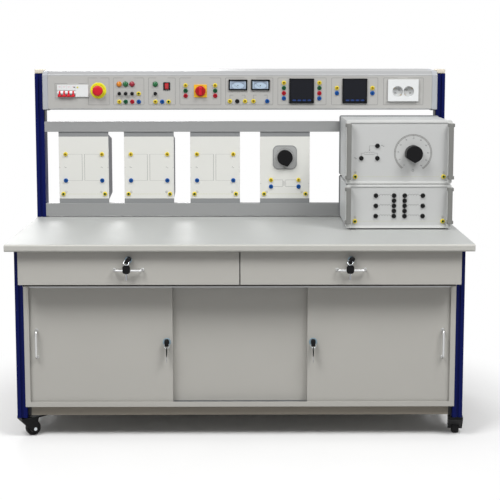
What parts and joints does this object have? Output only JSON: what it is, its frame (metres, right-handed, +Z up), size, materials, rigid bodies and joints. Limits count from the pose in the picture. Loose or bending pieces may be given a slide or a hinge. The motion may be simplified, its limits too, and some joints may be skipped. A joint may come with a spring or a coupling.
{
  "type": "transformer training bench",
  "caption": "Mobile laboratory bench with drawers, a sliding-door cabinet, a supply console, clip-in experiment modules and two stacked instruments.",
  "frame": {"origin": "on the floor under the middle of the bench's bounding box", "axes": "+X to the user's right along the bench, +Y away from the user, +Z up"},
  "size_m": [1.6, 0.8503, 1.29],
  "materials": {
    "table_board": "light grey laminate with a soft edge",
    "blue_profile": "deep blue powder coat",
    "beige_cap": "moulded satin",
    "stretcher_steel": "satin powder coat",
    "black_bracket": "black satin",
    "rail_aluminium": "grey anodised",
    "console_aluminium": "light grey powder coat",
    "console_plate": "light grey printed plate",
    "white_plastic": "satin",
    "black_plastic": "satin",
    "red_plastic": "gloss",
    "yellow_plastic": "gloss",
    "lamp_plastic": "translucent",
    "socket_plastic": "gloss",
    "cabinet_steel": "grey powder coat",
    "zinc_steel": "zinc plated",
    "chrome_steel": "polished",
    "module_sheet": "anodised",
    "module_plate": "off-white printed plate",
    "core_iron": "varnished laminations and windings",
    "instrument_sheet": "light grey powder coat",
    "instrument_plate": "light grey printed plate",
    "handle_grey": "grey satin",
    "castor_plastic": "moulded black",
    "castor_tyre": "grey-black polyurethane"
  },
  "bodies": {
    "root": {"table_top": "table_board", "base_legs": "blue_profile", "base_stretchers": "stretcher_steel", "uprights": "blue_profile", "end_caps": "beige_cap", "panel_rails": "rail_aluminium", "frame_brackets": "black_bracket", "console_shell": "console_aluminium", "console_front": "console_plate", "breaker_body": "white_plastic", "switch_plates": "yellow_plastic", "analog_meters": "black_plastic", "digital_meters": "black_plastic", "power_outlet": "white_plastic", "pilot_lamps": "lamp_plastic", "fuse_holders": "black_plastic", "safety_sockets": "socket_plastic", "cabinet_shell": "cabinet_steel", "cabinet_back": "cabinet_steel", "cabinet_centre_panel": "cabinet_steel", "door_tracks": "zinc_steel", "drawer_housing": "cabinet_steel", "drawer_runners": "zinc_steel", "module_cases": "module_sheet", "module_panels": "module_plate", "transformer_cores": "core_iron", "instrument_cases": "instrument_sheet", "instrument_panels": "instrument_plate", "instrument_handles": "handle_grey"},
    "castor_front_left_fork": {"castor_front_left_fork": "castor_plastic"},
    "castor_front_left_wheel": {"castor_front_left_wheel": "castor_tyre"},
    "castor_front_left_pedal": {"castor_front_left_pedal": "castor_plastic"},
    "castor_front_right_fork": {"castor_front_right_fork": "castor_plastic"},
    "castor_front_right_wheel": {"castor_front_right_wheel": "castor_tyre"},
    "castor_front_right_pedal": {"castor_front_right_pedal": "castor_plastic"},
    "castor_rear_left_fork": {"castor_rear_left_fork": "castor_plastic"},
    "castor_rear_left_wheel": {"castor_rear_left_wheel": "castor_tyre"},
    "castor_rear_right_fork": {"castor_rear_right_fork": "castor_plastic"},
    "castor_rear_right_wheel": {"castor_rear_right_wheel": "castor_tyre"},
    "drawer_left": {"drawer_left_tray": "zinc_steel", "drawer_left_front": "cabinet_steel", "drawer_left_handle": "chrome_steel"},
    "drawer_left_key": {"drawer_left_key": "black_plastic"},
    "door_left": {"door_left": "cabinet_steel", "door_left_handle": "chrome_steel"},
    "door_left_key": {"door_left_key": "black_plastic"},
    "drawer_right": {"drawer_right_tray": "zinc_steel", "drawer_right_front": "cabinet_steel", "drawer_right_handle": "chrome_steel"},
    "drawer_right_key": {"drawer_right_key": "black_plastic"},
    "door_right": {"door_right": "cabinet_steel", "door_right_handle": "chrome_steel"},
    "door_right_key": {"door_right_key": "black_plastic"},
    "estop_button": {"estop_button": "red_plastic"},
    "breaker_test_button": {"breaker_test_button": "white_plastic"},
    "rotary_switch_knob": {"rotary_switch_knob": "red_plastic"},
    "rocker_button": {"rocker_button": "red_plastic"},
    "breaker_toggles": {"breaker_toggles": "red_plastic"},
    "module_knob": {"module_knob": "black_plastic"},
    "regulator_knob": {"regulator_knob": "black_plastic"}
  },
  "joints": [
    {"name": "castor_front_left_swivel", "type": "hinge", "parent": "root", "child": "castor_front_left_fork", "pos_m": [-0.7675, -0.291, 0.075], "axis": [0, 0, 1], "continuous": true},
    {"name": "castor_front_left_roll", "type": "hinge", "parent": "castor_front_left_fork", "child": "castor_front_left_wheel", "pos_m": [-0.73979, -0.275, 0.026], "axis": [0.5, -0.866, 0], "continuous": true},
    {"name": "castor_front_left_brake", "type": "hinge", "parent": "castor_front_left_fork", "child": "castor_front_left_pedal", "pos_m": [-0.7294, -0.269, 0.064], "axis": [0.5, -0.866, 0], "range_deg": [-12, 0]},
    {"name": "castor_front_right_swivel", "type": "hinge", "parent": "root", "child": "castor_front_right_fork", "pos_m": [0.7675, -0.291, 0.075], "axis": [0, 0, 1], "continuous": true},
    {"name": "castor_front_right_roll", "type": "hinge", "parent": "castor_front_right_fork", "child": "castor_front_right_wheel", "pos_m": [0.77085, -0.25917, 0.026], "axis": [0.9945, -0.1045, 0], "continuous": true},
    {"name": "castor_front_right_brake", "type": "hinge", "parent": "castor_front_right_fork", "child": "castor_front_right_pedal", "pos_m": [0.7721, -0.24724, 0.064], "axis": [0.9945, -0.1045, 0], "range_deg": [-12, 0]},
    {"name": "castor_rear_left_swivel", "type": "hinge", "parent": "root", "child": "castor_rear_left_fork", "pos_m": [-0.7675, 0.375, 0.075], "axis": [0, 0, 1], "continuous": true},
    {"name": "castor_rear_left_roll", "type": "hinge", "parent": "castor_rear_left_fork", "child": "castor_rear_left_wheel", "pos_m": [-0.7515, 0.34729, 0.026], "axis": [-0.866, -0.5, 0], "continuous": true},
    {"name": "castor_rear_right_swivel", "type": "hinge", "parent": "root", "child": "castor_rear_right_fork", "pos_m": [0.7675, 0.375, 0.075], "axis": [0, 0, 1], "continuous": true},
    {"name": "castor_rear_right_roll", "type": "hinge", "parent": "castor_rear_right_fork", "child": "castor_rear_right_wheel", "pos_m": [0.7515, 0.34729, 0.026], "axis": [-0.866, 0.5, 0], "continuous": true},
    {"name": "drawer_left_slide", "type": "slide", "parent": "root", "child": "drawer_left", "axis": [0, -1, 0], "range_m": [0, 0.4]},
    {"name": "drawer_left_lock", "type": "hinge", "parent": "drawer_left", "child": "drawer_left_key", "pos_m": [-0.381, -0.395, 0.653], "axis": [0, 1, 0], "range_deg": [0, 90]},
    {"name": "door_left_slide", "type": "slide", "parent": "root", "child": "door_left", "axis": [1, 0, 0], "range_m": [0, 0.47]},
    {"name": "door_left_lock", "type": "hinge", "parent": "door_left", "child": "door_left_key", "pos_m": [-0.2565, -0.318, 0.347], "axis": [0, 1, 0], "range_deg": [0, 90]},
    {"name": "drawer_right_slide", "type": "slide", "parent": "root", "child": "drawer_right", "axis": [0, -1, 0], "range_m": [0, 0.4]},
    {"name": "drawer_right_lock", "type": "hinge", "parent": "drawer_right", "child": "drawer_right_key", "pos_m": [0.381, -0.395, 0.653], "axis": [0, 1, 0], "range_deg": [0, 90]},
    {"name": "door_right_slide", "type": "slide", "parent": "root", "child": "door_right", "axis": [1, 0, 0], "range_m": [-0.47, 0]},
    {"name": "door_right_lock", "type": "hinge", "parent": "door_right", "child": "door_right_key", "pos_m": [0.2565, -0.318, 0.347], "axis": [0, -1, 0], "range_deg": [0, 90]},
    {"name": "estop_press", "type": "slide", "parent": "root", "child": "estop_button", "axis": [0, 1, 0], "range_m": [0, 0.006]},
    {"name": "breaker_test_press", "type": "slide", "parent": "root", "child": "breaker_test_button", "axis": [0, 1, 0], "range_m": [0, 0.0015], "stiffness_N_per_m": 300},
    {"name": "rotary_switch_turn", "type": "hinge", "parent": "root", "child": "rotary_switch_knob", "pos_m": [-0.1535, 0.221, 1.2065], "axis": [0, 1, 0], "range_deg": [0, 90]},
    {"name": "rocker_tip", "type": "hinge", "parent": "root", "child": "rocker_button", "pos_m": [-0.284, 0.223, 1.225], "axis": [-1, 0, 0], "range_deg": [0, 24]},
    {"name": "breaker_switch", "type": "hinge", "parent": "root", "child": "breaker_toggles", "pos_m": [-0.671, 0.221, 1.2], "axis": [-1, 0, 0], "range_deg": [0, 80]},
    {"name": "module_knob_turn", "type": "hinge", "parent": "root", "child": "module_knob", "pos_m": [0.1755, 0.259, 0.9455], "axis": [0, -1, 0], "range_deg": [0, 300]},
    {"name": "regulator_knob_turn", "type": "hinge", "parent": "root", "child": "regulator_knob", "pos_m": [0.631, -0.082, 0.991], "axis": [0, 1, 0], "range_deg": [0, 292]}
  ]
}
